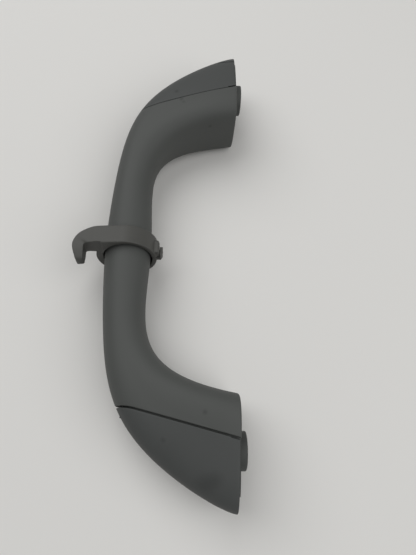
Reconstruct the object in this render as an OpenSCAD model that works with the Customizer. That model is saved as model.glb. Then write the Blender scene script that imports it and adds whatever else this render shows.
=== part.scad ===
// Roof grab handle: an arched moulding with two feet, hinged screw flaps and a clip-on hook ring.
// Frame: mounting face in the plane X = 0, arch towards -X, length along Y, widths across Z.

/* [Overall] */
// Length over both feet
length = 230; // [215:1:250]
// Height of the arch from the mounting face
reach = 62.7; // [58:0.1:70]
// Length of a foot at the mounting face
foot_l = 46.4; // [45:0.1:51]

/* [Bar] */
// Thickness of the bar at its middle, seen from the side
bar_t = 21.7; // [20:0.1:23]
// Width of the bar across Z
bar_w = 22.4; // [20:0.1:23]
// Squareness of the bar's section, 2 is an ellipse
bar_square = 2.15; // [2:0.05:2.4]

/* [Feet] */
// Width of a foot across Z at the mounting face
foot_w = 32; // [30:0.2:36]
// Squareness of a foot's section
foot_square = 3.6; // [2.6:0.1:4]
// How much narrower a foot's tip is than its inner end, as a share
foot_taper = 0.24; // [0.1:0.01:0.26]
// Rounding of the edge at the mounting face
edge_r = 0.8; // [0.5:0.1:1.6]
// Wall of the cored-out foot
foot_wall = 3; // [2.4:0.1:4]
// Depth of the coring behind the mounting face
core_depth = 24; // [14:1:28]
// Thickness of the ribs in the coring
rib_t = 1.8; // [1.2:0.1:3]

/* [Fixing] */
// Distance from a screw hole's centre to the end of the handle
hole_inset = 23.5; // [22:0.1:25]
// Radius of the screw hole
hole_r = 3.25; // [2.2:0.05:3.6]
// Radius of the locating spigot
spigot_r = 7.9; // [6.5:0.1:8.5]
// How far the spigot stands out of the mounting face
spigot_h = 3.5; // [1.5:0.1:5]
// Chamfer at the spigot's end
spigot_chamfer = 0.5; // [0.2:0.1:1]
// Height of the screw tower above the mounting face
tower_h = 10; // [7:0.5:13]
// Depth of the recess for the screw's head
head_depth = 4.5; // [2:0.1:5]
// Radius of the recess for the screw's head
head_r = 5.4; // [5:0.1:5.8]
// Thickness of the plate under each flap
plate_t = 3; // [2:0.1:4]

/* [Flaps] */
// Length of a flap at the mounting face
flap_l = 28.7; // [28:0.1:31]
// Slope of the parting line against the mounting face's normal, in degrees
seam_angle = 14.4; // [8:0.2:18]
// Height above the mounting face at which the parting line starts to curve outwards
seam_bend_h = 42.6; // [38:0.2:48]
// Radius of that curve
seam_bend_r = 26; // [20:1:60]
// Wall of a flap
flap_wall = 2; // [1.6:0.1:2.4]
// Open joint at the upper flap's edge
gap_top = 0.25; // [0.2:0.05:1]
// Open joint at the lower flap's edge
gap_bottom = 0.8; // [0.2:0.05:1.2]
// Height of a flap's rim above the mounting face
rim_lift = 0.6; // [0.4:0.1:1]
// Gap between a flap's wall and the plate inside it
plate_gap = 0.5; // [0.35:0.05:0.8]
// How far the lip under a flap's edge reaches past the parting line
lip_reach = 2.2; // [1.4:0.1:3]
// Thickness of that lip
lip_t = 1.2; // [0.8:0.1:1.6]

/* [Flap hinge] */
// Radius of the hinge pin moulded on the flap
pin_r = 1; // [0.8:0.05:1.2]
// Running clearance of the pin in its knuckle
pin_clear = 0.05; // [0.02:0.01:0.1]
// Wall of the knuckle around the pin
knuckle_wall = 1; // [0.8:0.05:1.2]
// Width of the knuckle across Z
knuckle_w = 6; // [4:0.5:8]
// Width of the flap's hinge cheek on each side of the knuckle
cheek_w = 3; // [2:0.5:4]
// Side play between the knuckle and a cheek
side_play = 0.3; // [0.2:0.05:0.6]

/* [Flap snap] */
// Width of the snap tab
tab_w = 10; // [6:1:13]
// Thickness of the snap tab
tab_t = 1.6; // [1.2:0.1:2.2]
// How far the tab reaches into the seat beyond the parting line
tab_reach = 2.2; // [1.4:0.1:2.6]
// Play around the tab in its slot
tab_play = 0.5; // [0.4:0.05:0.8]

/* [Hook ring] */
// Clearance across Z between the ring's bore and the widest part of the bar
ring_play = 1.2; // [1.1:0.05:1.6]
// Clearance along X, where the oval bore sits closer to the bar
ring_hug = 0.95; // [0.9:0.05:1.6]
// Wall of the ring at its near side
ring_wall = 1.9; // [1.4:0.1:2.6]
// How far the ring's outside sits off its bore, towards the hook
ring_off = 0.4; // [0:0.1:0.6]
// Width of the ring's band
ring_band = 9; // [7:0.5:10]
// Angle at which the loose ring leans on the bar, in degrees
ring_lean = 9; // [0:0.5:9]
// Place of the ring along the bar
ring_at = -1.1; // [-8:0.1:8]
// How far the hook reaches out from the ring's bore axis
hook_reach = 22.7; // [22.2:0.1:27]
// Drop of the hook's tip below the middle of the band
hook_drop = 11.2; // [10.5:0.1:14]
// Thickness of the hook's arm across Z
hook_t = 8.6; // [6:0.2:9.4]
// Clear width of the hook's mouth
mouth_w = 5.9; // [5:0.1:6.5]

/* [Ring catch] */
// Gap between the two ends of the strap
catch_gap = 0.4; // [0.3:0.1:0.6]
// Thickness of the ear across Z
ear_t = 6; // [4:0.5:7]
// Height of the ear outside the band
ear_h = 1.3; // [0.8:0.1:1.8]
// Width of the catch's tongue along the bar
tongue_w = 4; // [3:0.5:5]

/* [Hidden] */

body_color = [0.33, 0.335, 0.33];
flap_color = [0.32, 0.325, 0.32];
ring_color = [0.31, 0.315, 0.31];

$fn = 48;
// Points round one section, and sections from the middle of the bar to a foot
around = 28;
steps = 22;
// Steps of the small curves and of the search along them
curve_steps = 5;
search_steps = 16;

half_l = length / 2;
hole_y = half_l - hole_inset;
seam_y = half_l - flap_l;
inner_depth = reach - bar_t;
// Clear length between the feet at the mounting face
opening_l = length - 2 * foot_l;

// Side view of half the handle, from the middle of the bar to a foot's end, as Bezier curves
outer_path = [
    [-reach, 0],
    [-reach, 0.259 * half_l],
    [-0.893 * reach, 0.711 * half_l],
    [-0.998 * reach, 0.689 * half_l],
    [-0.219 * reach, 0.99 * half_l],
    [0, half_l]
];
inner_path = [
    [-inner_depth, 0],
    [-inner_depth, 0.258 * opening_l],
    [-1.269 * inner_depth, 0.435 * opening_l],
    [0, opening_l / 2]
];

// The hinge lies near the tip, with its knuckle just under the foot's outline
knuckle_r = pin_r + pin_clear + knuckle_wall;
hinge_x = -(rim_lift + knuckle_r);
hinge_cover = 0.5;
function outline_y(x, low = 0.6, high = 1, n = search_steps) =
    let (mid = (low + high) / 2, q = bezier(outer_path, mid))
    n == 0 ? q[1]
    : q[0] < x ? outline_y(x, mid, high, n - 1)
    : outline_y(x, low, mid, n - 1);
hinge_y = outline_y(hinge_x) - knuckle_r - hinge_cover;
swing_gap = 0.35;
heel_clear = 0.15;
heel_r = knuckle_r + rim_lift - heel_clear;
tab_root = 5;

// Bar's middle, which the ring goes round
bar_x = -(reach - bar_t / 2);
bar_half = max(bar_t, bar_w) / 2;
ring_in = bar_half + ring_play;
ring_in_x = bar_t / 2 + ring_hug;
ring_out = ring_in + ring_wall;

function blend_points(a, b, t) = a + (b - a) * t;
function bezier(p, t) =
    len(p) == 1 ? p[0]
    : bezier([for (i = [0 : len(p) - 2]) blend_points(p[i], p[i + 1], t)], t);

// Angle of a point on a path, 0 at the middle of the bar and 90 at the mounting face
function path_angle(p, t) = let (q = bezier(p, t)) atan2(q[1], -q[0]);
function find_t(p, angle, low = 0, high = 1, n = search_steps) =
    n == 0 ? (low + high) / 2
    : let (mid = (low + high) / 2)
      path_angle(p, mid) < angle ? find_t(p, angle, mid, high, n - 1)
      : find_t(p, angle, low, mid, n - 1);
function path_radius(p, angle) = norm(bezier(p, find_t(p, min(abs(angle), 90))));

function smooth(x) = let (c = max(0, min(1, x))) c * c * (3 - 2 * c);
function signed_power(x, e) = sign(x) * pow(abs(x), e);

// The section swells from the bar to the foot between these two angles
swell_from = 32;
swell_to = 88;
function swell(angle) = smooth((abs(angle) - swell_from) / (swell_to - swell_from));
function half_width(angle) = (bar_w + (foot_w - bar_w) * swell(angle)) / 2;
function squareness(angle) = bar_square + (foot_square - bar_square) * swell(angle);

// One section of the handle, in a plane through the Z axis, drawn in by inset
function section(angle, inset) =
    let (
        outer = path_radius(outer_path, angle) - inset,
        inner = path_radius(inner_path, angle) + inset,
        a = (outer - inner) / 2,
        mid = (outer + inner) / 2,
        b = half_width(angle) - inset,
        power = 2 / squareness(angle),
        taper = foot_taper * swell(angle)
    )
    [for (i = [0 : around - 1])
        let (
            c = signed_power(cos(360 * i / around), power),
            s = signed_power(sin(360 * i / around), power),
            r = mid + a * c
        )
        [-r * cos(angle), r * sin(angle), b * s * (1 - taper * c)]];

// Solid through rows of points, each row a closed ring of n points
module tube(rows, n) {
    last = len(rows) - 1;
    sides = [for (k = [0 : last - 1], i = [0 : n - 1])
        let (j = (i + 1) % n, lower = k * n, upper = lower + n)
        each [
            [lower + i, upper + i, upper + j],
            [lower + i, upper + j, lower + j]
        ]];
    ends = [
        [for (i = [0 : n - 1]) i],
        [for (i = [n - 1 : -1 : 0]) last * n + i]
    ];
    polyhedron([for (row = rows) each row], concat(sides, ends), convexity = 6);
}

// Solid through a list of sections, each given as [angle, inset]
module loft(sections) {
    tube([for (s = sections) section(s[0], s[1])], around);
}

// Sections that round the edge at the mounting face, from the wall to the face
mean_r = (half_l + opening_l / 2) / 2;
function edge_sections() = [for (i = [0 : 3])
    let (turn = 30 * i)
    [90 - edge_r * (1 - sin(turn)) / mean_r * 180 / PI, edge_r * (1 - cos(turn))]];
function mirrored(list) = [for (i = [len(list) - 1 : -1 : 0]) [-list[i][0], list[i][1]]];
function sweep_sections(from, to, n, inset) = [for (i = [0 : n])
    [from + (to - from) * i / n, inset]];

// The handle's outer skin
module skin() {
    last_plain = 88;
    half = concat(sweep_sections(last_plain / steps, last_plain, steps - 1, 0), edge_sections());
    loft(concat(mirrored(half), [[0, 0]], half));
}

// One foot only, with a wall's inset and open past the mounting face
foot_from = 46;
module foot_form(inset, past = 2, from = foot_from, n = 12) {
    loft(sweep_sections(from, 90 + past, n, inset));
}
module foot_skin() {
    loft(concat(sweep_sections(foot_from, 88, 12, 0), edge_sections()));
}

// Parting line in the side view: straight, then curving outwards near the outer face
function seam_line(x) =
    let (bend = max(0, -x - seam_bend_h))
    seam_y + x * tan(seam_angle) + bend * bend / (2 * seam_bend_r);

// Height at which the parting line meets the outer face
function find_seam_t(low = 0, high = 1, n = search_steps) =
    let (mid = (low + high) / 2, q = bezier(outer_path, mid))
    n == 0 ? mid
    : q[1] < seam_line(q[0]) ? find_seam_t(mid, high, n - 1)
    : find_seam_t(low, mid, n - 1);
seam_end_x = bezier(outer_path, find_seam_t())[0];

// Everything beyond the parting line moved by shift, between two heights over the face
far_y = half_l + 20;
far_x = -reach - 20;
module beyond_seam(shift, low = 0, width = foot_w + 20) {
    curve = [for (i = [0 : curve_steps])
        let (x = -seam_bend_h + (far_x + seam_bend_h) * i / curve_steps * 0.5)
        [x, seam_line(x) + shift]];
    translate([0, 0, -width / 2])
    linear_extrude(width)
    polygon(concat([[-low, far_y], [-low, seam_line(-low) + shift]], curve,
        [[far_x, curve[curve_steps][1]], [far_x, far_y]]));
}

module along_z(x, y, r, w) {
    translate([x, y, -w / 2]) cylinder(r = r, h = w);
}
module block(x0, x1, y0, y1, w) {
    translate([x0, y0, -w / 2]) cube([x1 - x0, y1 - y0, w]);
}

// Coring behind a foot, between its walls and the wall along the parting line
core_front = opening_l / 2 + foot_wall;
module foot_core() {
    core_seam = seam_y - foot_wall;
    difference() {
        intersection() {
            foot_form(foot_wall, n = 6, from = 62);
            block(-core_depth, 1, 0, far_y, foot_w);
        }
        beyond_seam(-foot_wall, low = -2);
        // Middle rib and cross rib
        block(-core_depth, -edge_r, 0, far_y, rib_t);
        block(-core_depth, -edge_r, (core_front + core_seam - rib_t) / 2,
            (core_front + core_seam + rib_t) / 2, foot_w);
    }
}

// Plate under a flap, with the knuckle at the tip
plate_inset = flap_wall + plate_gap;
// The plate ends where the flap's slanting sides sweep past as it opens
side_sweep = 1.2;
plate_end = hinge_y - heel_r - swing_gap - side_sweep;
module flap_seat() {
    intersection() {
        foot_form(plate_inset, past = 0, from = 80, n = 3);
        block(-plate_t, 0, seam_y - foot_wall, plate_end, foot_w);
    }
    difference() {
        union() {
            along_z(hinge_x, hinge_y, knuckle_r, knuckle_w);
            block(hinge_x - pin_r, hinge_x + knuckle_r, plate_end - 1, hinge_y, knuckle_w);
        }
        along_z(hinge_x, hinge_y, pin_r + pin_clear, knuckle_w + 2);
    }
}

// Lip along the parting line, under the flap's edge
module seam_lip() {
    inset = plate_inset;
    difference() {
        intersection() {
            foot_form(inset, past = 0, n = 7);
            beyond_seam(-foot_wall / 2, low = rim_lift);
        }
        foot_form(inset + lip_t, past = 0, n = 7);
        beyond_seam(lip_reach, low = -1);
    }
}

// The snap tab stands just inside the flap's outer wall, square to the parting line
wall_slant = 46;
tab_gap = 0.6;
tab_x = seam_end_x + (flap_wall + tab_gap) / sin(wall_slant) + tab_t / 2;
module at_tab() {
    translate([tab_x, seam_line(tab_x), 0]) rotate(seam_angle) children();
}
// Its slot is wider towards the outer face, where the tab swings out
module tab_slot() {
    at_tab()
    block(-tab_t / 2 - tab_play - tab_reach / 2, tab_t / 2 + tab_play,
        -tab_reach - tab_play, lip_reach + 2, tab_w + 2 * tab_play);
}

// Round piece about a screw hole's axis, from x0 to x1
module about_hole(x0, x1, r, end_r) {
    translate([x0, hole_y, 0]) rotate([0, 90, 0]) cylinder(r1 = r, r2 = end_r, h = x1 - x0);
}

// What the body has at each foot: screw tower, spigot, plate, ribs
tower_step = 0.6;
gusset_inset = 2;
module foot_fittings() {
    tower_r = spigot_r - tower_step;
    spigot_edge = spigot_h - spigot_chamfer;
    flap_seat();
    seam_lip();
    about_hole(-tower_h, 0, tower_r, tower_r);
    about_hole(-plate_t, spigot_edge, spigot_r, spigot_r);
    about_hole(spigot_edge, spigot_h, spigot_r, spigot_r - spigot_chamfer);
    // Gussets from the tower to the seat wall
    intersection() {
        for (side = [-1, 1]) {
            translate([0, 0, side * (spigot_r - gusset_inset)])
            block(-tower_h, 0, 0, hole_y, rib_t);
        }
        beyond_seam(-foot_wall / 2);
    }
}

module foot_cuts() {
    about_hole(-tower_h - 1, spigot_h + 1, hole_r, hole_r);
    about_hole(-tower_h - 1, -tower_h + head_depth, head_r, head_r);
    tab_slot();
}

module both_feet() {
    children();
    mirror([0, 1, 0]) children();
}

module handle_body() {
    color(body_color)
    difference() {
        union() {
            difference() {
                skin();
                both_feet() {
                    beyond_seam(0, low = -5);
                    foot_core();
                }
            }
            both_feet() foot_fittings();
        }
        both_feet() foot_cuts();
    }
}

// A screw flap at the upper end, with its joint to the body
module flap(gap) {
    notch_w = knuckle_w + 2 * side_play;
    difference() {
        union() {
            difference() {
                intersection() {
                    foot_skin();
                    beyond_seam(gap, low = rim_lift);
                }
                foot_form(flap_wall);
            }
            // Hinge cheeks, kept inside the flap's outline
            intersection() {
                foot_skin();
                for (side = [-1, 1]) {
                    translate([0, 0, side * (notch_w + cheek_w) / 2]) {
                        along_z(hinge_x, hinge_y, knuckle_r, cheek_w);
                        block(hinge_x - 3 * knuckle_r, hinge_x, hinge_y - pin_r,
                            half_l, cheek_w);
                    }
                }
            }
            // Snap tab rooted in the outer wall
            at_tab() block(-tab_t / 2, tab_t / 2, -tab_reach, tab_root, tab_w);
        }
        along_z(hinge_x, hinge_y, knuckle_r + swing_gap, notch_w);
        block(hinge_x - pin_r, 1, plate_end - 2, half_l + 1, notch_w);
        // The heel is round about the hinge, so it stays clear of the panel behind
        difference() {
            block(hinge_x, 1, hinge_y, half_l + 1, foot_w);
            along_z(hinge_x, hinge_y, heel_r, foot_w + 1);
        }
    }
    along_z(hinge_x, hinge_y, pin_r, notch_w + cheek_w);
}

module flap_top() {
    color(flap_color) flap(gap_top);
}
module flap_bottom() {
    color(flap_color) mirror([0, 1, 0]) flap(gap_bottom);
}

// The ring is drawn upright round the Y axis, with its hook towards -X and its near side at +Z
function rounded_band(r0, r1, w, c) = [
    [r0, -w / 2], [r1 - c, -w / 2], [r1 - 0.3 * c, -w / 2 + 0.3 * c], [r1, -w / 2 + c],
    [r1, w / 2 - c], [r1 - 0.3 * c, w / 2 - 0.3 * c], [r1 - c, w / 2], [r0, w / 2]
];
band_edge = 1;

// The hook's arm runs straight off the near side of the band and curls down to its tip
arm_sunk = 0.9;
arm_top = ring_out - arm_sunk;
arm_fall = 3;
tip_half = 1.7;
bend_half = 4.1;
band_half = ring_band / 2;
// How far the curl swings past the arm's middle line, and how far the arm's side curves in
curl = 2.4;
arm_low = 0.7;
curl_side = 1.2;
tip_x = -ring_out - mouth_w + curl - tip_half;
hook_path = [
    [-2, 0],
    [-0.5 * hook_reach, -arm_low],
    [-hook_reach + curl, curl - arm_low],
    [-hook_reach + curl_side, -0.55 * hook_drop],
    [tip_x, -hook_drop + tip_half]
];
hook_steps = 12;
arm_power = 0.5;
hook_around = 16;
// Half height of the arm in its plane, a band's width at first and the tip's at the end
function arm_half(t) =
    t < 0.7 ? band_half - (band_half - bend_half) * smooth((t - 0.45) / 0.25)
    : bend_half - (bend_half - tip_half) * smooth((t - 0.7) / 0.3);
function heading(t) =
    let (d = bezier(hook_path, min(1, t + 0.01)) - bezier(hook_path, max(0, t - 0.01)))
    atan2(d[1], d[0]);
// One rounded section of the arm, drawn in by grow and moved on by shift to close the tip
function arm_section(t, grow = 1, shift = 0) =
    let (
        p = bezier(hook_path, t),
        h = heading(t),
        half = arm_half(t) * grow,
        thick = hook_t / 2 * (1 - 0.25 * t * t) * (0.4 + 0.6 * grow),
        mid_z = arm_top - hook_t / 2 - arm_fall * t * t
    )
    [for (i = [0 : hook_around - 1])
        let (
            c = signed_power(cos(360 * i / hook_around), arm_power),
            s = signed_power(sin(360 * i / hook_around), arm_power)
        )
        [
            p[0] + cos(h) * shift - sin(h) * half * c,
            p[1] + sin(h) * shift + cos(h) * half * c,
            mid_z + thick * s
        ]];

module hook_arm() {
    rows = concat(
        [for (i = [0 : hook_steps]) arm_section(i / hook_steps)],
        [for (turn = [30, 60, 82]) arm_section(1, cos(turn), tip_half * sin(turn))]
    );
    tube(rows, hook_around);
}

// The strap's two ends: an ear on the near one, and a post on the far one whose tongue
// snaps over the ear
tongue_t = 1;
tongue_gap = 0.15;
tongue_cut = 0.6;
post_t = 1.8;
tongue_over = 2;
split_z = 1.05;
// How far the ear hangs below the band, and how far above its lower edge the tongue starts
ear_below = 0.4;
// Height of the ear's shoulder as a share of half the band, and its rounding
ear_share = 0.5;
ear_round = 1;
tongue_up = 0.2;
module catch() {
    near_x = ring_out + ear_h;
    low = -band_half - ear_below;
    shoulder = ear_share * band_half;
    // Ear with a sloping shoulder
    translate([0, 0, split_z + catch_gap / 2]) linear_extrude(ear_t)
    polygon([
        [ring_in, low], [near_x, low], [near_x, shoulder - 2 * ear_round],
        [near_x - 0.4 * ear_round, shoulder - 0.7 * ear_round],
        [near_x - ear_h - ear_round, shoulder], [ring_in, shoulder]
    ]);
    // Post and tongue
    translate([0, -band_half + tongue_up, split_z - catch_gap / 2 - post_t]) {
        translate([ring_in, 0, 0])
            cube([near_x + tongue_gap - ring_in, tongue_w, post_t]);
        translate([near_x + tongue_gap, 0, 0]) linear_extrude(post_t + catch_gap + tongue_over)
        polygon([
            [0, 0], [tongue_t - tongue_cut, 0], [tongue_t, 2 * tongue_cut],
            [tongue_t, tongue_w], [0, tongue_w]
        ]);
    }
}

module hook_ring() {
    color(ring_color)
    translate([bar_x - ring_off, ring_at, 0]) rotate([-ring_lean, 0, 0])
    difference() {
        union() {
            rotate([-90, 0, 0]) rotate_extrude()
                polygon(rounded_band(ring_in_x - ring_off - 0.3, ring_out, ring_band, band_edge));
            hook_arm();
            catch();
        }
        translate([ring_off, 0, 0]) scale([ring_in_x / ring_in, 1, 1]) rotate([90, 0, 0])
            cylinder(r = ring_in, h = 4 * ring_band, center = true);
        // The split between the strap's two ends
        translate([0, -ring_band, split_z - catch_gap / 2])
            cube([ring_out + ear_h + tongue_gap / 2, 2 * ring_band, catch_gap]);
    }
}

handle_body();
flap_top();
flap_bottom();
hook_ring();
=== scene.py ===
# Roof grab handle lying on its side: moulded body, two hinged screw flaps and a clip-on hook ring.
import math

import bmesh
import bpy
import numpy as np
from mathutils import Matrix, Vector


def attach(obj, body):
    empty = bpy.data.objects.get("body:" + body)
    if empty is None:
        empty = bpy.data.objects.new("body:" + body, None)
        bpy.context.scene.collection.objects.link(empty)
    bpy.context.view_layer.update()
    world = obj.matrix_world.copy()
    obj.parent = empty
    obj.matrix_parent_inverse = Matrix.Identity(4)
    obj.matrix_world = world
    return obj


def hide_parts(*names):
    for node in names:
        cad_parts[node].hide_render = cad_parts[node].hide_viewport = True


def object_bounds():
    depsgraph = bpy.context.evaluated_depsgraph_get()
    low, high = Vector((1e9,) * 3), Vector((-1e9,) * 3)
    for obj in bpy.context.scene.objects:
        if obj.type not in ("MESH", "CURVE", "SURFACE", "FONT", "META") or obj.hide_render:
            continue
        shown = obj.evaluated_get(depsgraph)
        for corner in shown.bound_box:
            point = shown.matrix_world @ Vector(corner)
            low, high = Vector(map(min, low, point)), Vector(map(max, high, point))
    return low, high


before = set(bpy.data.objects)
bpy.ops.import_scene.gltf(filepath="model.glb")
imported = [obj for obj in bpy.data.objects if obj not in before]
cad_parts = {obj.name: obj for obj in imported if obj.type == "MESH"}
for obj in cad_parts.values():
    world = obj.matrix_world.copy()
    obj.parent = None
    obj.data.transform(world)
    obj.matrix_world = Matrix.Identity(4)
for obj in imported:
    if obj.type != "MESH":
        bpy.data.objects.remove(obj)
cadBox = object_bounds()
mm = 0.001  # all sizes below are in millimetres
acrossFoot = (-20, 20)  # past both sides of the foot
print("frame loaded")

# Shape of the whole handle, the same sizes as the solid's
grip = {
    "length": 230.0,
    "reach": 62.7,
    "footLength": 46.4,
    "barThickness": 21.7,
    "barWidth": 22.4,
    "barSquareness": 2.15,  # 2 is an ellipse
    "footWidth": 32.0,
    "footSquareness": 3.6,
    "footTaper": 0.24,
    "swellFrom": 32.0,  # degrees round from the middle of the bar
    "swellTo": 88.0,
    "rimRadius": 0.8,  # rounding at the mounting face
    "footWall": 3.0,
    "coreDepth": 24.0,
    "ribThickness": 1.8,
    "rowsAlong": 96,
    "around": 128,
    "closing": 1.15,  # over 1 the skin lines lie closer together by the seam's corner
}

# Line where the flaps part from the body
seam = {
    "flapLength": 28.7,
    "slope": 14.4,
    "bendHeight": 42.6,
    "bendRadius": 26.0,
    "edgeRadius": 0.28,
    "lipReach": 2.2,
    "lipThickness": 1.2,
}

flapSizes = {
    "wall": 2.0,
    "gapTop": 0.25,
    "gapBottom": 0.8,
    "rimLift": 0.6,
    "rimRadius": 0.45,
    "plateGap": 0.5,
    "tabWidth": 10.0,
    "tabThickness": 1.6,
    "tabReach": 2.2,
    "tabPlay": 0.5,
    "tabRoot": 5.0,
    "tabGap": 0.6,
    "wallSlant": 46.0,
    "slitDepth": 9.5,
    "slitAlong": (106.6, 107.2),  # both edges of the slit, from the middle of the handle
}

hinge = {
    "pinRadius": 1.0,
    "pinClearance": 0.05,
    "knuckleWall": 1.0,
    "knuckleWidth": 6.0,
    "cheekWidth": 3.0,
    "sidePlay": 0.3,
    "cover": 0.5,  # plastic between the knuckle and the outline of the foot
    "swingGap": 0.35,
    "heelClearance": 0.15,
    "sideSweep": 1.2,
    "knuckleFoot": 1.8,  # height over which the knuckle widens into its plate
}

fixing = {
    "holeInset": 23.5,
    "holeRadius": 3.25,
    "spigotRadius": 7.9,
    "spigotHeight": 3.5,
    "spigotRounding": 0.5,
    "towerHeight": 10.0,
    "towerStep": 0.6,
    "headDepth": 4.5,
    "headRadius": 5.4,
    "edgeBevel": 0.2,
    "plateThickness": 3.0,
    "plateBoreRoom": 0.6,  # the plate's bore is this much wider than the screw's head
    "gussetInset": 2.0,
    "gussetSlant": 2.0,
    "gussetRoot": 4.5,  # the gussets end inside the tower, this far from its axis
}


def bezier(points, t):
    points = [np.array(p, float)[None, :] for p in points]
    t = np.asarray(t, float)[:, None]
    while len(points) > 1:
        points = [a + (b - a) * t for a, b in zip(points, points[1:])]
    return points[0]


def smoothStep(x):
    x = np.clip(x, 0, 1)
    return x * x * (3 - 2 * x)


halfLength = grip["length"] / 2
opening = grip["length"] - 2 * grip["footLength"]
innerDepth = grip["reach"] - grip["barThickness"]
outerPath = [
    (-grip["reach"], 0),
    (-grip["reach"], 0.259 * halfLength),
    (-0.893 * grip["reach"], 0.711 * halfLength),
    (-0.998 * grip["reach"], 0.689 * halfLength),
    (-0.219 * grip["reach"], 0.990 * halfLength),
    (0, halfLength),
]
innerPath = [
    (-innerDepth, 0),
    (-innerDepth, 0.258 * opening),
    (-1.269 * innerDepth, 0.435 * opening),
    (0, opening / 2),
]


def railOf(path):
    p = bezier(path, np.linspace(0, 1, 6000))
    return np.degrees(np.arctan2(p[:, 1], -p[:, 0])), np.hypot(p[:, 0], p[:, 1])


outerRail = railOf(outerPath)
innerRail = railOf(innerPath)


def skinPoints(angle, turn, inset=0.0):
    # angle goes along the handle, 0 in the middle of the bar and 90 at the mounting face;
    # turn goes round the section, 0 at its outer face
    angle, turn = np.broadcast_arrays(np.asarray(angle, float), np.asarray(turn, float))
    along = np.minimum(np.abs(angle), 90)
    swell = smoothStep((along - grip["swellFrom"]) / (grip["swellTo"] - grip["swellFrom"]))
    outer = np.interp(along, *outerRail) - inset
    inner = np.interp(along, *innerRail) + inset
    halfWidth = (grip["barWidth"] + (grip["footWidth"] - grip["barWidth"]) * swell) / 2 - inset
    power = grip["barSquareness"] + (grip["footSquareness"] - grip["barSquareness"]) * swell
    c, s = np.cos(turn), np.sin(turn)
    size = (np.abs(c) ** power + np.abs(s) ** power) ** (1 / power)
    c, s = c / size, s / size
    radius = (outer + inner) / 2 + (outer - inner) / 2 * c
    bend = np.radians(angle)
    width = halfWidth * s * (1 - grip["footTaper"] * swell * c)
    return np.stack([-radius * np.cos(bend), radius * np.sin(bend), width], -1)


def seamLine(x):
    bend = np.maximum(0, -x - seam["bendHeight"])
    slope = math.tan(math.radians(seam["slope"]))
    return halfLength - seam["flapLength"] + x * slope + bend * bend / (2 * seam["bendRadius"])


def angleWhere(test, low, high, steps=34):
    # the value at which a rising test goes through zero, for every line at once
    low, high = np.array(low, float), np.array(high, float)
    for _ in range(steps):
        middle = (low + high) / 2
        past = test(middle) > 0
        high = np.where(past, middle, high)
        low = np.where(past, low, middle)
    return (low + high) / 2


def seamAngle(turn, inset, shift, height=0.0):
    # where a line along the skin meets the seam, or the height over the mounting face if that is first
    def test(angle):
        p = skinPoints(angle, turn, inset)
        return np.maximum(p[..., 1] - seamLine(p[..., 0]) - shift, p[..., 0] + height)
    turn = np.asarray(turn, float)
    return angleWhere(test, np.full(turn.shape, 40.0), np.full(turn.shape, 90.0))


def rimAngle(turn, inset, height):
    turn = np.asarray(turn, float)
    return angleWhere(lambda a: skinPoints(a, turn, inset)[..., 0] + height,
                      np.full(turn.shape, 40.0), np.full(turn.shape, 90.0))


def cornerTurn(inset, shift, height):
    # the line along the skin that runs into the corner of the seam and the mounting face
    def test(turn):
        p = skinPoints(rimAngle(turn, inset, height), turn, inset)
        return -(p[..., 1] - seamLine(p[..., 0]) - shift)
    return float(angleWhere(test, np.array([0.3]), np.array([3.0]))[0])


def newObject(name, data):
    thing = bpy.data.objects.new(name, data)
    bpy.context.scene.collection.objects.link(thing)
    return thing


def meshPiece(name, points, faces):
    mesh = bpy.data.meshes.new(name)
    mesh.from_pydata([tuple(mm * float(v) for v in p) for p in points], [], faces)
    piece = newObject(name, mesh)
    tidyShell(piece)
    return piece


def tidyShell(piece, merge=0.002):
    # merges doubles and turns every face outwards
    shell = bmesh.new()
    shell.from_mesh(piece.data)
    bmesh.ops.remove_doubles(shell, verts=shell.verts, dist=merge * mm)
    bmesh.ops.dissolve_degenerate(shell, edges=shell.edges, dist=merge * mm)
    bmesh.ops.recalc_face_normals(shell, faces=shell.faces)
    shell.to_mesh(piece.data)
    shell.free()


def settle(piece):
    # turns modifiers into plain mesh
    seen = piece.evaluated_get(bpy.context.evaluated_depsgraph_get())
    plain = bpy.data.meshes.new_from_object(seen)
    old = piece.data
    piece.modifiers.clear()
    piece.data = plain
    bpy.data.meshes.remove(old)


def combine(piece, other, operation):
    cut = piece.modifiers.new("cut", "BOOLEAN")
    cut.operation = operation
    cut.solver = "EXACT"
    cut.object = other
    settle(piece)
    bpy.data.objects.remove(other)


def soften(piece, width, segments=3, angle=30):
    bevel = piece.modifiers.new("edges", "BEVEL")
    bevel.width = width * mm
    bevel.segments = segments
    bevel.limit_method = "ANGLE"
    bevel.angle_limit = math.radians(angle)
    settle(piece)


def shadeSmooth(piece, angle=38):
    mesh = piece.data
    mesh.polygons.foreach_set("use_smooth", [True] * len(mesh.polygons))
    mesh.set_sharp_from_angle(angle=math.radians(angle))


def mirrored(piece, name):
    # the same shape at the other end of the handle
    twin = piece.copy()
    twin.data = piece.data.copy()
    twin.name = name
    bpy.context.scene.collection.objects.link(twin)
    twin.data.transform(Matrix.Scale(-1, 4, (0, 1, 0)))
    twin.data.flip_normals()
    return twin


def joined(name, parts):
    shell = bmesh.new()
    for part in parts:
        shell.from_mesh(part.data)
    mesh = bpy.data.meshes.new(name)
    shell.to_mesh(mesh)
    shell.free()
    piece = newObject(name, mesh)
    for part in parts:
        bpy.data.objects.remove(part)
    return piece


def filletDrop(inset, radius):
    # how far a quarter-round edge has dropped once it is this far in
    inset = min(inset, radius)
    return radius - math.sqrt(max(0.0, radius * radius - (radius - inset) ** 2))


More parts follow.
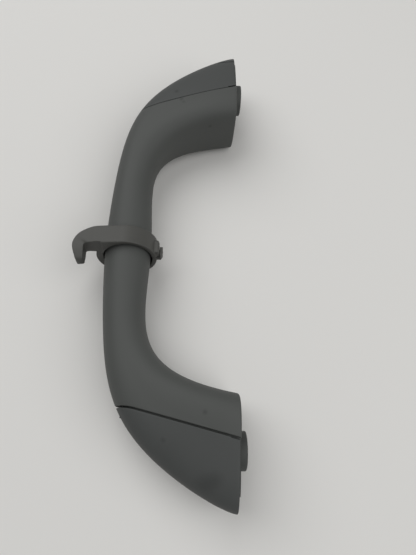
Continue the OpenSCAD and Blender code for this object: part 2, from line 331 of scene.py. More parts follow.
# Body: rows along the handle, then rows that round the edges, then strips across the cut
def bodySkin():
    half = grip["around"] // 2
    edgeInsets = [0, 0.02, 0.08, 0.16, seam["edgeRadius"], 0.42, 0.6, grip["rimRadius"]]
    levels = [(g, -filletDrop(g, seam["edgeRadius"]) if g else -seam["edgeRadius"],
               filletDrop(g, grip["rimRadius"]) if g else grip["rimRadius"]) for g in edgeInsets]

    def turnsFor(corner, share):
        ahead = round(half * corner / math.pi)
        even = np.linspace(0, math.pi, half + 1)
        closing = 1 - (1 - np.linspace(0, 1, ahead + 1)) ** grip["closing"]
        fitted = np.concatenate([corner * closing[:-1],
                                 np.linspace(corner, math.pi, half - ahead + 1)])
        upper = even + (fitted - even) * share
        return np.concatenate([upper, 2 * math.pi - upper[-2:0:-1]])

    def endRow(g, shift, height):
        corner = cornerTurn(g, shift, height)
        turn = turnsFor(corner, 1)
        angle = seamAngle(turn, g, shift, height)
        # the skin lines run nearly along the seam here, so the corner itself is set
        for i in (round(half * corner / math.pi), -round(half * corner / math.pi)):
            angle[i] = rimAngle(turn[i], g, height)
        return angle, turn, g

    last, _, g = endRow(*levels[0])
    corner = cornerTurn(*levels[0])
    rows = []
    n = grip["rowsAlong"]
    for k in range(n + 1):
        turn = turnsFor(corner, float(smoothStep(2 * k / n - 1)))
        rows.append((last * k / n, turn, g))
    rows += [endRow(*level) for level in levels[1:]]

    around = 2 * half
    points = []
    for sign in (-1, 1):
        for angle, turn, g in (rows[:0:-1] if sign < 0 else rows):
            points += skinPoints(sign * angle, turn, g).tolist()
    count = 2 * len(rows) - 1
    faces = [(k * around + i, k * around + (i + 1) % around,
              (k + 1) * around + (i + 1) % around, (k + 1) * around + i)
             for k in range(count - 1) for i in range(around)]
    # strips across each end, from one side's line to its twin on the other side
    strips = 12
    for row in (0, count - 1):
        start = row * around
        columns = []
        for i in range(half + 1):
            if i in (0, half):
                columns.append([start + i] * (strips + 1))
                continue
            a, b = np.array(points[start + i]), np.array(points[start + around - i])
            column = [start + i]
            for j in range(1, strips):
                points.append((a + (b - a) * j / strips).tolist())
                column.append(len(points) - 1)
            columns.append(column + [start + around - i])
        for left, right in zip(columns, columns[1:]):
            for j in range(strips):
                face = []
                for v in (left[j], left[j + 1], right[j + 1], right[j]):
                    if v not in face:
                        face.append(v)
                if len(face) > 2:
                    faces.append(tuple(face))
    return meshPiece("gripBody", points, faces)


def loftPiece(name, sections, around=64):
    # closed solid through whole sections, each an angle and an inset
    turn = np.linspace(0, 2 * math.pi, around, endpoint=False)
    points = []
    for angle, inset in sections:
        points += skinPoints(angle, turn, inset).tolist()
    faces = [(k * around + i, k * around + (i + 1) % around,
              (k + 1) * around + (i + 1) % around, (k + 1) * around + i)
             for k in range(len(sections) - 1) for i in range(around)]
    faces += [tuple(range(around)), tuple((len(sections) - 1) * around + i for i in range(around))]
    return meshPiece(name, points, faces)


def blockPiece(name, x, y, z):
    points = [(a, b, c) for a in x for b in y for c in z]
    faces = [(0, 1, 3, 2), (4, 6, 7, 5), (0, 4, 5, 1), (2, 3, 7, 6), (0, 2, 6, 4), (1, 5, 7, 3)]
    return meshPiece(name, points, faces)


def prismPiece(name, outline, z):
    n = len(outline)
    points = [(x, y, h) for h in z for x, y in outline]
    faces = [tuple(range(n)), tuple(range(n, 2 * n))]
    faces += [(i, (i + 1) % n, n + (i + 1) % n, n + i) for i in range(n)]
    return meshPiece(name, points, faces)


def beyondSeam(name, shift, low, width=52):
    xs = np.linspace(-low, -84, 30)
    outline = [(x, float(seamLine(x)) + shift) for x in xs]
    outline += [(-84, halfLength + 20), (-low, halfLength + 20)]
    return prismPiece(name, outline, (-width / 2, width / 2))


def spunPiece(name, profile, centre, axis, steps=96):
    # profile runs as (along the axis, radius) and closes on itself
    axis = Vector(axis)
    across = axis.orthogonal().normalized()
    other = axis.cross(across)
    n = len(profile)
    points = []
    for k in range(steps):
        turn = 2 * math.pi * k / steps
        out = across * math.cos(turn) + other * math.sin(turn)
        points += [tuple(Vector(centre) + axis * a + out * r) for a, r in profile]
    faces = [(k * n + i, k * n + (i + 1) % n, ((k + 1) % steps) * n + (i + 1) % n,
              ((k + 1) % steps) * n + i) for k in range(steps) for i in range(n)]
    return meshPiece(name, points, faces)


def discPiece(name, centre, axis, radius, length, steps=96):
    return spunPiece(name, [(0, 0), (0, radius), (length, radius), (length, 0)], centre, axis, steps)


def arc(centre, radius, start, end, steps=5):
    turns = np.radians(np.linspace(start, end, steps + 1))
    return [(centre[0] + radius * math.cos(t), centre[1] + radius * math.sin(t)) for t in turns]


knuckleRadius = hinge["pinRadius"] + hinge["pinClearance"] + hinge["knuckleWall"]
hingeX = -(flapSizes["rimLift"] + knuckleRadius)
tipLine = bezier(outerPath, np.linspace(0.6, 1, 2000))
hingeY = float(np.interp(hingeX, tipLine[:, 0], tipLine[:, 1])) - knuckleRadius - hinge["cover"]
heelRadius = knuckleRadius + flapSizes["rimLift"] - hinge["heelClearance"]
plateEnd = hingeY - heelRadius - hinge["swingGap"] - hinge["sideSweep"]
holeY = halfLength - fixing["holeInset"]
notchWidth = hinge["knuckleWidth"] + 2 * hinge["sidePlay"]
seamTip = skinPoints(seamAngle(np.array([0.0]), 0, 0), np.array([0.0]))[0]
tabX = (seamTip[0] + (flapSizes["wall"] + flapSizes["tabGap"])
        / math.sin(math.radians(flapSizes["wallSlant"])) + flapSizes["tabThickness"] / 2)


def atTab(piece):
    place = (Matrix.Translation((tabX * mm, float(seamLine(tabX)) * mm, 0))
             @ Matrix.Rotation(math.radians(seam["slope"]), 4, "Z"))
    piece.data.transform(place)
    return piece


def tabSlot():
    half, play = flapSizes["tabThickness"] / 2, flapSizes["tabPlay"]
    width = flapSizes["tabWidth"] / 2 + play
    return atTab(blockPiece("slot", (-half - play - flapSizes["tabReach"] / 2, half + play),
                            (-flapSizes["tabReach"] - play, seam["lipReach"] + 2), (-width, width)))


def footCoring():
    wall = grip["footWall"]
    alongFoot = (0, 140)  # past the end of the foot
    core = loftPiece("core", [(a, wall) for a in np.linspace(62, 92, 25)])
    combine(core, blockPiece("room", (-grip["coreDepth"], 1), alongFoot, acrossFoot), "INTERSECT")
    combine(core, beyondSeam("seamWall", -wall, -3), "DIFFERENCE")
    rib = grip["ribThickness"] / 2
    middle = (opening / 2 + wall + halfLength - seam["flapLength"] - wall) / 2
    low = -grip["rimRadius"]
    combine(core, blockPiece("rib", (-30, low), alongFoot, (-rib, rib)), "DIFFERENCE")
    combine(core, blockPiece("rib", (-30, low), (middle - rib, middle + rib), acrossFoot), "DIFFERENCE")
    return core


def flapSeat():
    inset = flapSizes["wall"] + flapSizes["plateGap"]
    plate = loftPiece("plate", [(a, inset) for a in np.linspace(80, 90, 9)], 96)
    top = halfLength - seam["flapLength"] - grip["footWall"]
    combine(plate, blockPiece("room", (-fixing["plateThickness"], 0.001), (top, plateEnd), acrossFoot),
            "INTERSECT")
    boreRadius = fixing["headRadius"] + fixing["plateBoreRoom"]
    combine(plate, discPiece("bore", (-8, holeY, 0), (1, 0, 0), boreRadius, 12), "DIFFERENCE")
    width = hinge["knuckleWidth"] / 2
    outline = [(hingeX + knuckleRadius, hingeY)] + arc((hingeX, hingeY), knuckleRadius, 0, 180, 24)
    footX = hingeX - hinge["pinRadius"]
    outline += [(hingeX - knuckleRadius, hingeY), (footX, hingeY - hinge["knuckleFoot"]),
                (footX, plateEnd - 1), (hingeX + knuckleRadius, plateEnd - 1)]
    knuckle = prismPiece("knuckle", outline[1:], (-width, width))
    combine(knuckle, discPiece("pinBore", (hingeX, hingeY, -6), (0, 0, 1),
                               hinge["pinRadius"] + hinge["pinClearance"], 12, 48), "DIFFERENCE")
    return [plate, knuckle]


def seamLip():
    # rebate under the flap's edge, which closes the open joint to the eye
    inset = flapSizes["wall"] + flapSizes["plateGap"]
    lip = loftPiece("lip", [(a, inset) for a in np.linspace(46, 90, 34)], 96)
    combine(lip, beyondSeam("lipRoot", -grip["footWall"] / 2, flapSizes["rimLift"]), "INTERSECT")
    hollow = loftPiece("hollow", [(a, inset + seam["lipThickness"]) for a in np.linspace(45.5, 91, 34)], 96)
    combine(lip, hollow, "DIFFERENCE")
    combine(lip, beyondSeam("lipEnd", seam["lipReach"], -1), "DIFFERENCE")
    combine(lip, tabSlot(), "DIFFERENCE")
    return lip


def screwTower():
    r, round_ = fixing["spigotRadius"], fixing["spigotRounding"]
    top = fixing["spigotHeight"]
    tower = r - fixing["towerStep"]
    deep = fixing["towerHeight"]
    bevel = fixing["edgeBevel"]
    profile = [(-deep, fixing["headRadius"] + bevel), (-deep, tower - bevel), (-deep + bevel, tower),
               (-fixing["plateThickness"] + 0.01, tower), (-fixing["plateThickness"] + 0.01, r)]
    profile += arc((top - round_, r - round_), round_, 90, 0, 5)
    profile += [(top, fixing["holeRadius"] + bevel), (top - bevel, fixing["holeRadius"])]
    shelf = -deep + fixing["headDepth"]
    profile += [(shelf, fixing["holeRadius"]), (shelf, fixing["headRadius"]),
                (-deep + bevel, fixing["headRadius"])]
    return spunPiece("tower", profile, (0, holeY, 0), (1, 0, 0))


def gussets():
    side = fixing["spigotRadius"] - fixing["gussetInset"]
    rib = grip["ribThickness"] / 2
    parts = []
    for z in (-side, side):
        start = float(seamLine(-fixing["towerHeight"])) - grip["footWall"] / 2
        end = holeY - fixing["gussetRoot"]
        outline = [(-fixing["towerHeight"], start), (-0.01, start + fixing["gussetSlant"]), (-0.01, end),
                   (-fixing["towerHeight"], end)]
        parts.append(prismPiece("gusset", outline, (z - rib, z + rib)))
    return parts


body = bodySkin()
print("body skin made")
core = footCoring()
combine(body, mirrored(core, "coreTwin"), "DIFFERENCE")
combine(body, core, "DIFFERENCE")
slot = tabSlot()
combine(body, mirrored(slot, "slotTwin"), "DIFFERENCE")
combine(body, slot, "DIFFERENCE")
fittings = flapSeat() + [seamLip(), screwTower()] + gussets()
fittings += [mirrored(part, part.name + "Twin") for part in fittings]
body = joined("gripBody", [body] + fittings)
print("body finished:", len(body.data.polygons), "faces")


# Flap: each line's loop goes down the outer face, round the rim, up the inner face and over the seam edge
def flapShell(name, gap):
    wall, lift = flapSizes["wall"], flapSizes["rimLift"]
    edge, rim = seam["edgeRadius"], flapSizes["rimRadius"]
    rows, lines = 44, 88
    # lines from one corner of the seam to the other, closer together by the corners
    share = np.linspace(-1, 1, lines + 1)
    share = np.sin(share * math.pi / 2) * 0.35 + share * 0.65

    def line(inset, shift, height):
        return cornerTurn(inset, shift, height) * share

    loop = []

    def face(inset, shift, height, reverse=False):
        turn = line(inset, shift, height)
        start = seamAngle(turn, inset, shift)
        end = np.maximum(start, rimAngle(turn, inset, height))
        order = np.linspace(0, 1, rows + 1)
        for t in (order[::-1] if reverse else order):
            loop.append(skinPoints(start + (end - start) * t, turn, inset))

    def step(inset, shift, height, atRim):
        turn = line(inset, shift, height)
        angle = rimAngle(turn, inset, height) if atRim else seamAngle(turn, inset, shift)
        loop.append(skinPoints(angle, turn, inset))

    face(0, gap + edge, lift + rim)
    for turn in (30, 60, 90):
        t = math.radians(turn)
        step(rim * (1 - math.cos(t)), gap + edge, lift + rim * (1 - math.sin(t)), True)
    step(wall - 0.2, gap, lift, True)
    face(wall, gap, lift + 0.2, True)
    step(wall - 0.2, gap, lift, False)
    for turn in (90, 60, 30):
        t = math.radians(turn)
        step(edge * (1 - math.cos(t)), gap + edge * (1 - math.sin(t)), lift + rim, False)
    count = len(loop)
    points = np.array(loop).transpose(1, 0, 2).reshape(-1, 3).tolist()
    faces = [(i * count + k, i * count + (k + 1) % count, (i + 1) * count + (k + 1) % count,
              (i + 1) * count + k) for i in range(lines) for k in range(count)]
    return meshPiece(name, points, faces)


def flapPiece(name, gap):
    shell = flapShell(name, gap)
    # notch for the knuckle, and the heel rounded about the hinge
    combine(shell, discPiece("notch", (hingeX, hingeY, -notchWidth / 2), (0, 0, 1),
                             knuckleRadius + hinge["swingGap"], notchWidth), "DIFFERENCE")
    combine(shell, blockPiece("notch", (hingeX - hinge["pinRadius"], 1), (plateEnd - 2, halfLength + 1),
                              (-notchWidth / 2, notchWidth / 2)), "DIFFERENCE")
    parts = [shell]
    for side in (-1, 1):
        z = side * (notchWidth + hinge["cheekWidth"]) / 2
        w = hinge["cheekWidth"] / 2
        outline = arc((hingeX, hingeY), knuckleRadius, -180, 0, 24)
        outline += [(hingeX + knuckleRadius * 0.95, hingeY + 0.5), (hingeX, halfLength),
                    (hingeX - 3 * knuckleRadius, halfLength), (hingeX - 3 * knuckleRadius, hingeY - 1)]
        cheek = prismPiece("cheek", outline, (z - w, z + w))
        combine(cheek, loftPiece("inside", [(a, 0.35) for a in np.linspace(70, 90, 15)], 96), "INTERSECT")
        parts.append(cheek)
    pinLength = notchWidth + hinge["cheekWidth"]
    parts.append(discPiece("pin", (hingeX, hingeY, -pinLength / 2), (0, 0, 1), hinge["pinRadius"],
                           pinLength, 40))
    half = flapSizes["tabThickness"] / 2
    tabOutline = [(half, flapSizes["tabRoot"]), (-half, flapSizes["tabRoot"]),
                  (-half, -flapSizes["tabReach"] + 0.5), (-half + 0.4, -flapSizes["tabReach"]),
                  (half - 0.4, -flapSizes["tabReach"]), (half, -flapSizes["tabReach"] + 0.5)]
    parts.append(atTab(prismPiece("tab", tabOutline,
                                  [w * flapSizes["tabWidth"] / 2 for w in (-1, 1)])))
    return joined(name, parts)


flapTop = flapPiece("flapTop", flapSizes["gapTop"])
# fine slit across the tip of the upper flap, in front of its hinge
combine(flapTop, blockPiece("slit", (-flapSizes["slitDepth"], 1), flapSizes["slitAlong"], acrossFoot),
        "DIFFERENCE")
flapLow = flapPiece("flapLow", flapSizes["gapBottom"])
flapBottom = mirrored(flapLow, "flapBottom")
bpy.data.objects.remove(flapLow)
print("flaps made")


# Hook ring: its strap and the arm that curls into the hook follow paths, in a frame about the bore
ring = {
    "Outside": 14.3,
    "Bore Across": 12.4,
    "Bore Along": 11.5,
    "Bore Shift": 0.55,
    "Band Width": 9.6,
    "Band Edge": 0.45,
    "Arm Start": (0.0, 0.0, 0.0),
    "Arm Middle": (-4.62, -0.38, 0.0),
    "Arm Bend": (-21.0, -0.36, 0.0),
    "Arm Fall": (-21.6, 1.3, 0.0),
    "Arm Tip": (-19.7, -12.1, 0.0),
    "Arm Height": 4.8,
    "Bend Height": 3.5,
    "Tip Height": 1.85,
    "Tip Start": 0.94,  # share of the path after which the tip rounds off
    "Arm Thickness": 9.4,
    "Arm Taper": 0.45,  # share of the thickness lost at the tip
    "Arm Level": 9.5,
    "Arm Dip": 2.8,  # the tip lies this much lower than the start
    "Arm Edge": 0.14,  # share of half the arm's height
    "Lean": math.radians(-9),
    "Place": (-52.25, -1.5, 0.0),
}
hookMouth = {
    "side": -18.35,
    "width": 8.0,
    "top": -4.4,
    "depth": 14.0,
    "bendFrom": -13.0,  # from here to the next the edges get softer
    "bendTo": -18.0,
    "softening": 14,  # rounds of smoothing at the bend
}
ringSkin = {
    "voxel": 0.2,
    "smoothing": 3,  # rounds of smoothing all over
}
ringCatch = {
    "earHeight": 1.3,
    "earThickness": 4.4,
    "earBelow": -0.4,
    "earRounding": 0.9,
    "shoulder": 3.1,
    "split": (0.85, 1.25),
    "postThickness": 1.8,
    "tongueGap": 0.15,
    "tongueThickness": 1.3,
    "tongueWidth": 4.6,
    "tongueUp": 0.3,
    "tongueOver": 2.0,
    "tongueCut": 0.75,
}


def addNode(tree, kind, inputs=(), **settings):
    # inputs pair a socket's name or number with a value or with another node's output
    node = tree.nodes.new(kind)
    for name, value in settings.items():
        setattr(node, name, value)
    for key, value in dict(inputs).items():
        if isinstance(value, bpy.types.NodeSocket):
            tree.links.new(value, node.inputs[key])
        else:
            node.inputs[key].default_value = value
    return node


def ringTree():
    tree = bpy.data.node_groups.new("hookRing", "GeometryNodeTree")
    for name, value in ring.items():
        kind = "NodeSocketVector" if isinstance(value, tuple) else "NodeSocketFloat"
        tree.interface.new_socket(name, in_out="INPUT", socket_type=kind)
    tree.interface.new_socket("Material", in_out="INPUT", socket_type="NodeSocketMaterial")
    tree.interface.new_socket("Geometry", in_out="OUTPUT", socket_type="NodeSocketGeometry")
    given = addNode(tree, "NodeGroupInput").outputs

    def reckon(operation, a, b=0.0):
        return addNode(tree, "ShaderNodeMath", {0: a, 1: b}, operation=operation).outputs[0]

    def ramp(value, start, end, low, high):
        return addNode(tree, "ShaderNodeMapRange", {"Value": value, "From Min": start, "From Max": end,
                                                    "To Min": low, "To Max": high},
                       interpolation_type="SMOOTHSTEP").outputs[0]

    # strap: a rounded bar bent round a circle about Y; it starts inside the oval bore, which cuts it
    inner = reckon("SUBTRACT", reckon("SUBTRACT", given["Bore Along"], given["Bore Shift"]), 0.5)
    circle = addNode(tree, "GeometryNodeCurvePrimitiveCircle", {
        "Resolution": 144, "Radius": reckon("MULTIPLY", reckon("ADD", given["Outside"], inner), 0.5)})
    section = addNode(tree, "GeometryNodeCurvePrimitiveQuadrilateral", {
        "Width": reckon("SUBTRACT", given["Outside"], inner), "Height": given["Band Width"]})
    section = addNode(tree, "GeometryNodeFilletCurve", {"Curve": section.outputs[0], "Count": 5,
                                                        "Radius": given["Band Edge"]}, mode="POLY")
    strap = addNode(tree, "GeometryNodeCurveToMesh", {"Curve": circle.outputs[0],
                                                      "Profile Curve": section.outputs[0]})
    strap = addNode(tree, "GeometryNodeTransform", {"Geometry": strap.outputs[0],
                                                    "Rotation": (math.pi / 2, 0, 0)})

    # arm: a rounded bar along a curve through five control points, thinner towards its tip
    line = addNode(tree, "GeometryNodeCurvePrimitiveLine")
    line = addNode(tree, "GeometryNodeResampleCurve", {"Curve": line.outputs[0], "Count": 90})
    along = addNode(tree, "GeometryNodeSplineParameter").outputs["Factor"]
    line = addNode(tree, "GeometryNodeStoreNamedAttribute", {"Geometry": line.outputs[0], "Name": "along",
                                                             "Value": along}, data_type="FLOAT")
    control = [given[name] for name in ("Arm Start", "Arm Middle", "Arm Bend", "Arm Fall", "Arm Tip")]
    while len(control) > 1:
        control = [addNode(tree, "ShaderNodeMix", {0: along, 4: a, 5: b}, data_type="VECTOR").outputs[1]
                   for a, b in zip(control, control[1:])]
    line = addNode(tree, "GeometryNodeSetPosition", {"Geometry": line.outputs[0], "Position": control[0]})
    nose = addNode(tree, "ShaderNodeMapRange", {"Value": along, "From Min": given["Tip Start"],
                                                "From Max": 1.0}).outputs[0]
    # a little over 1, so that the tip doesn't close to a point
    nose = reckon("SQRT", reckon("SUBTRACT", 1.002, reckon("MULTIPLY", nose, nose)))

    def halfHeight(t):
        return reckon("SUBTRACT", ramp(t, 0.45, 0.7, given["Arm Height"], given["Bend Height"]),
                      ramp(t, 0.7, 1.0, 0.0, reckon("SUBTRACT", given["Bend Height"], given["Tip Height"])))

    section = addNode(tree, "GeometryNodeCurvePrimitiveQuadrilateral", {"Width": 2.0, "Height": 2.0})
    section = addNode(tree, "GeometryNodeFilletCurve", {"Curve": section.outputs[0], "Count": 7,
                                                        "Radius": given["Arm Edge"]}, mode="POLY")
    arm = addNode(tree, "GeometryNodeCurveToMesh", {
        "Curve": line.outputs[0], "Profile Curve": section.outputs[0], "Fill Caps": True,
        "Scale": reckon("MULTIPLY", halfHeight(along), nose)})
    # the bar is square so far, so its thickness and level are set along the curve
    there = addNode(tree, "GeometryNodeInputNamedAttribute", {"Name": "along"}, data_type="FLOAT").outputs[0]
    squared = reckon("MULTIPLY", there, there)
    thick = reckon("MULTIPLY", reckon("MULTIPLY", given["Arm Thickness"], 0.5),
                   reckon("SUBTRACT", 1.0, reckon("MULTIPLY", squared, given["Arm Taper"])))
    spot = addNode(tree, "ShaderNodeSeparateXYZ", {0: addNode(tree, "GeometryNodeInputPosition").outputs[0]})
    level = reckon("SUBTRACT", given["Arm Level"], reckon("MULTIPLY", squared, given["Arm Dip"]))
    height = reckon("ADD", level, reckon("MULTIPLY", spot.outputs[2],
                                         reckon("DIVIDE", thick, halfHeight(there))))
    spot = addNode(tree, "ShaderNodeCombineXYZ", {0: spot.outputs[0], 1: spot.outputs[1], 2: height})
    arm = addNode(tree, "GeometryNodeSetPosition", {"Geometry": arm.outputs[0], "Position": spot.outputs[0]})

    # the oval bore goes through both
    bore = addNode(tree, "GeometryNodeMeshCylinder", {"Vertices": 144, "Radius": 1.0, "Depth": 40.0})
    size = addNode(tree, "ShaderNodeCombineXYZ", {0: given["Bore Along"], 1: given["Bore Across"], 2: 1.0})
    shift = addNode(tree, "ShaderNodeCombineXYZ", {0: given["Bore Shift"]})
    bore = addNode(tree, "GeometryNodeTransform", {"Geometry": bore.outputs[0], "Scale": size.outputs[0],
                                                   "Rotation": (math.pi / 2, 0, 0),
                                                   "Translation": shift.outputs[0]})
    whole = addNode(tree, "GeometryNodeMeshBoolean", {"Mesh 2": arm.outputs[0], "Self Intersection": True},
                    operation="UNION", solver="EXACT")
    tree.links.new(strap.outputs[0], whole.inputs["Mesh 2"])
    cut = addNode(tree, "GeometryNodeMeshBoolean", {"Mesh 1": whole.outputs[0], "Mesh 2": bore.outputs[0]},
                  operation="DIFFERENCE", solver="EXACT")
    lean = addNode(tree, "ShaderNodeCombineXYZ", {0: given["Lean"]})
    placed = addNode(tree, "GeometryNodeTransform", {"Geometry": cut.outputs[0], "Rotation": lean.outputs[0],
                                                     "Translation": given["Place"]})
    placed = addNode(tree, "GeometryNodeTransform", {"Geometry": placed.outputs[0], "Scale": (mm, mm, mm)})
    real = addNode(tree, "GeometryNodeRealizeInstances", {"Geometry": placed.outputs[0]})
    dressed = addNode(tree, "GeometryNodeSetMaterial", {"Geometry": real.outputs[0],
                                                        "Material": given["Material"]})
    addNode(tree, "NodeGroupOutput", {0: dressed.outputs[0]})
    return tree


def inRing(piece):
    # from the ring's own frame to the handle's
    place = Matrix.Translation(Vector(ring["Place"]) * mm) @ Matrix.Rotation(ring["Lean"], 4, "X")
    piece.data.transform(place)
    return piece


def fuse(piece):
    skin = piece.modifiers.new("fuse", "REMESH")
    skin.mode = "VOXEL"
    skin.voxel_size = ringSkin["voxel"] * mm
    settle(piece)


def relaxSurface(piece, steps, group=""):
    relax = piece.modifiers.new("relax", "SMOOTH")
    relax.factor = 0.5
    relax.iterations = steps
    relax.vertex_group = group


def hookRing(material):
    piece = meshPiece("hookRing", [(0, 0, 0)], [])
    tree = ringTree()
    follow = piece.modifiers.new("shape", "NODES")
    follow.node_group = tree
    for item in tree.interface.items_tree:
        if item.in_out == "INPUT":
            follow[item.identifier] = material if item.name == "Material" else ring[item.name]
    settle(piece)
    print("ring strap and arm:", len(piece.data.polygons), "faces")
    # ear on the near end of the strap
    root = ring["Bore Across"]
    near = ring["Outside"] + ringCatch["earHeight"]
    low = -ring["Band Width"] / 2 - ringCatch["earBelow"]
    top = ringCatch["shoulder"]
    start = ringCatch["split"][1]
    ear = prismPiece("ear", [(root, low), (near, low), (near, top - 2), (near - 0.4, top - 0.7),
                             (near - 2.3, top), (root, top)], (start, start + ringCatch["earThickness"]))
    soften(ear, ringCatch["earRounding"], 4)
    piece = joined("hookRing", [piece, inRing(ear)])
    # one moulding, so the parts run into each other with small fillets
    fuse(piece)
    mouthSide, mouthTop = hookMouth["side"], hookMouth["top"]
    mouth = blockPiece("mouth", (mouthSide, mouthSide + hookMouth["width"]),
                       (mouthTop - hookMouth["depth"], mouthTop), (-20, 30))
    combine(piece, inRing(mouth), "DIFFERENCE")
    fuse(piece)
    bend = piece.vertex_groups.new(name="bend")
    for v in piece.data.vertices:
        x = v.co.x / mm - ring["Place"][0]
        share = (x - hookMouth["bendFrom"]) / (hookMouth["bendTo"] - hookMouth["bendFrom"])
        if share > 0:
            bend.add([v.index], float(smoothStep(share)), "REPLACE")
    relaxSurface(piece, hookMouth["softening"], "bend")
    relaxSurface(piece, ringSkin["smoothing"])
    settle(piece)
    split = blockPiece("split", (0, near + ringCatch["tongueGap"] / 2), (-9, 9), ringCatch["split"])
    combine(piece, inRing(split), "DIFFERENCE")
    # post on the far end, with a tongue that snaps over the ear
    foot = ringCatch["split"][0]
    base = -ring["Band Width"] / 2 + ringCatch["tongueUp"]
    reachX = near + ringCatch["tongueGap"]
    width, cutX = ringCatch["tongueWidth"], ringCatch["tongueCut"]
    outerX = reachX + ringCatch["tongueThickness"]
    post = prismPiece("post", [(root, base), (outerX - cutX, base), (outerX, base + 2 * cutX),
                               (outerX, base + width), (root, base + width)],
                      (foot - ringCatch["postThickness"], foot))
    tongue = prismPiece("tongue", [(reachX, base), (outerX - cutX, base), (outerX, base + 2 * cutX),
                                   (outerX, base + width), (reachX, base + width)],
                        (foot - 0.01, ringCatch["split"][1] + ringCatch["tongueOver"]))
    combine(post, tongue, "UNION")
    soften(post, 0.12, 2)
    return joined("hookRing", [piece, inRing(post)])


# Colours are written as sRGB and turned to linear here
def hexColour(text):
    parts = [int(text[i:i + 2], 16) / 255 for i in (1, 3, 5)]
    return [c / 12.92 if c <= 0.04045 else ((c + 0.055) / 1.055) ** 2.4 for c in parts] + [1]


# dark colour of the scuffs, also used for the painted shade at the lower flap's tip
scuffAndShadeColour = "#262827"


def mouldedPlastic(name, base, dark, roughness, marks=()):
    # Polypropylene moulded in a fine-eroded tool: satin, with a grain too small to see from here,
    # so it is drawn at 0.5 mm, faint flow mottle 12 mm wide, a few dark scuffs where it was handled, and
    # broad patches of painted shade among the marks
    material = bpy.data.materials.new(name)
    material.use_nodes = True
    tree = material.node_tree
    tree.nodes.clear()
    place = addNode(tree, "ShaderNodeTexCoord")
    mottle = addNode(tree, "ShaderNodeTexNoise", {"Vector": place.outputs["Object"], "Scale": 1 / 0.012,
                                                  "Detail": 3, "Roughness": 0.55})
    colour = addNode(tree, "ShaderNodeMix", {"Factor": mottle.outputs["Fac"], 6: hexColour(dark),
                                             7: hexColour(base)}, data_type="RGBA")
    tone = colour.outputs[2]
    # each mark pulls the colour towards the dark one, for the small scuffs and for the broad patches of
    # painted shade
    for x, y, z, radius, strength in marks:
        near = addNode(tree, "ShaderNodeVectorMath", {0: place.outputs["Object"],
                                                      1: (x * mm, y * mm, z * mm)}, operation="DISTANCE")
        scuffAndShade = addNode(tree, "ShaderNodeMapRange", {"Value": near.outputs["Value"], "From Min": radius * mm,
                                                     "From Max": 0.0, "To Min": 0.0, "To Max": strength},
                        interpolation_type="SMOOTHSTEP")
        tone = addNode(tree, "ShaderNodeMix", {"Factor": scuffAndShade.outputs[0], 6: tone,
                                               7: hexColour(scuffAndShadeColour)}, data_type="RGBA").outputs[2]
    grain = addNode(tree, "ShaderNodeTexNoise", {"Vector": place.outputs["Object"], "Scale": 1 / 0.0005,
                                                 "Detail": 2, "Roughness": 0.6})
    bump = addNode(tree, "ShaderNodeBump", {"Height": grain.outputs["Fac"], "Strength": 0.12,
                                            "Distance": 0.00005})
    gloss = addNode(tree, "ShaderNodeMapRange", {"Value": mottle.outputs["Fac"], "To Min": roughness - 0.04,
                                                 "To Max": roughness + 0.04})
    shader = addNode(tree, "ShaderNodeBsdfPrincipled", {
        "Base Color": tone, "Roughness": gloss.outputs[0], "IOR": 1.49,
        "Specular IOR Level": 0.35, "Normal": bump.outputs[0]})
    addNode(tree, "ShaderNodeOutputMaterial", {"Surface": shader.outputs[0]})
    return material


# scuffs, and broad painted shade on the lower flap: place in mm, radius in mm, strength
bodyScuffs = [(-28.7, 77.7, 14.9, 1.7, 0.5), (-27.3, 75.6, 15.1, 1.3, 0.4), (-13.4, 66.1, 9.2, 1.5, 0.4),
              (-14.5, -77.0, 16.9, 1.6, 0.4)]
# the last two flap marks are broad painted shade, darker towards the lower flap's tip; the others are scuffs
flapScuffsAndShade = [(-31.3, 83.6, 13.7, 1.9, 0.5), (-30.6, -87.5, 13.1, 1.6, 0.3), (-13.6, -103.1, 11.9, 6.5, 0.3),
              (-9.8, -101.5, 13.0, 5.0, 0.25)]
bodyPlastic = mouldedPlastic("satinPolypropyleneBody", "#4E504E", "#4A4C4A", 0.6, bodyScuffs)
flapPlastic = mouldedPlastic("satinPolypropyleneFlap", "#484A49", "#444645", 0.6, flapScuffsAndShade)
ringPlastic = mouldedPlastic("smoothAcetalRing", "#4E4E4B", "#4A4A47", 0.52)


def dress(piece, node, bodyName, material):
    shadeSmooth(piece)
    piece.data.materials.clear()
    piece.data.materials.append(material)
    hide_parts(node)
    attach(piece, bodyName)


dress(body, "handle_body", "body", bodyPlastic)
dress(flapTop, "flap_top", "upper_flap", flapPlastic)
dress(flapBottom, "flap_bottom", "lower_flap", flapPlastic)
dress(hookRing(ringPlastic), "hook_ring", "ring", ringPlastic)
print("hook ring made")

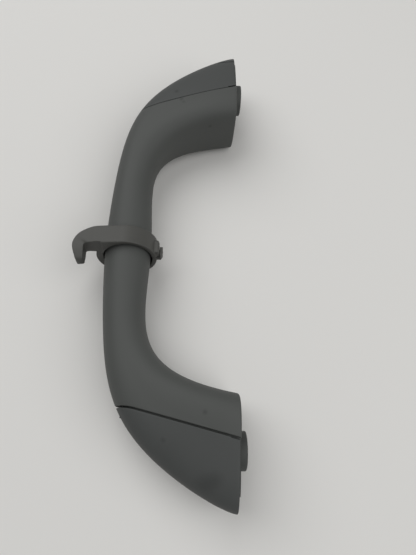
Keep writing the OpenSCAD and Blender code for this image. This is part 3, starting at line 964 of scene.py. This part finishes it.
# Camera at the photograph's place over the floor
view = {
    "place": (-22.5, -86.044, 196.221),
    "ahead": (0.04479, 0.3419, -0.93867),
    "up": (-0.02787, 0.93967, 0.34093),
    "lens": 28.36,
}
camera = newObject("camera", bpy.data.cameras.new("camera"))
ahead = Vector(view["ahead"]).normalized()
right = ahead.cross(Vector(view["up"])).normalized()
up = right.cross(ahead)
camera.matrix_world = Matrix.Translation(Vector(view["place"]) * mm) @ Matrix(
    (right, up, -ahead)).transposed().to_4x4()
camera.data.lens = view["lens"]
camera.data.sensor_width = 36
camera.data.clip_start = 0.01
bpy.context.scene.camera = camera

# Floor
room = {"floorDrop": 0.05, "floorSize": 4.0, "floorColour": "#E0DFDC"}
floorHeight = cadBox[0][2] - room["floorDrop"] * mm
floorMesh = bpy.data.meshes.new("floor")
reach = room["floorSize"] / 2
floorMesh.from_pydata([(x, y, floorHeight) for x, y in
                       ((-reach, -reach), (reach, -reach), (reach, reach), (-reach, reach))],
                      [], [(0, 1, 2, 3)])
floor = newObject("floor", floorMesh)
paper = bpy.data.materials.new("matteWhiteBoard")
paper.use_nodes = True
paperShader = paper.node_tree.nodes["Principled BSDF"]
paperShader.inputs["Base Color"].default_value = hexColour(room["floorColour"])
paperShader.inputs["Roughness"].default_value = 0.9
floorMesh.materials.append(paper)

# Light: two big soft lamps and an even room, places and sizes in metres
studio = {
    "roomLight": 0.22,
    "windowPlace": (-0.5, 0.5, 0.9),
    "windowPower": 7.6,
    "fillPlace": (0.55, -0.3, 0.85),
    "fillPower": 5.0,
    "lampSize": 1.2,
}
world = bpy.data.worlds.new("room")
bpy.context.scene.world = world
world.use_nodes = True
world.node_tree.nodes["Background"].inputs["Color"].default_value = hexColour("#FFFFFF")
world.node_tree.nodes["Background"].inputs["Strength"].default_value = studio["roomLight"]


def softLamp(name, place, power):
    lamp = newObject(name, bpy.data.lights.new(name, "AREA"))
    lamp.data.shape = "DISK"
    lamp.data.size = studio["lampSize"]
    lamp.data.energy = power
    lamp.location = place
    lamp.rotation_euler = (-Vector(place)).to_track_quat("-Z", "Y").to_euler()


softLamp("windowPanel", studio["windowPlace"], studio["windowPower"])
softLamp("fillPanel", studio["fillPlace"], studio["fillPower"])
bpy.context.scene.view_settings.view_transform = "Standard"
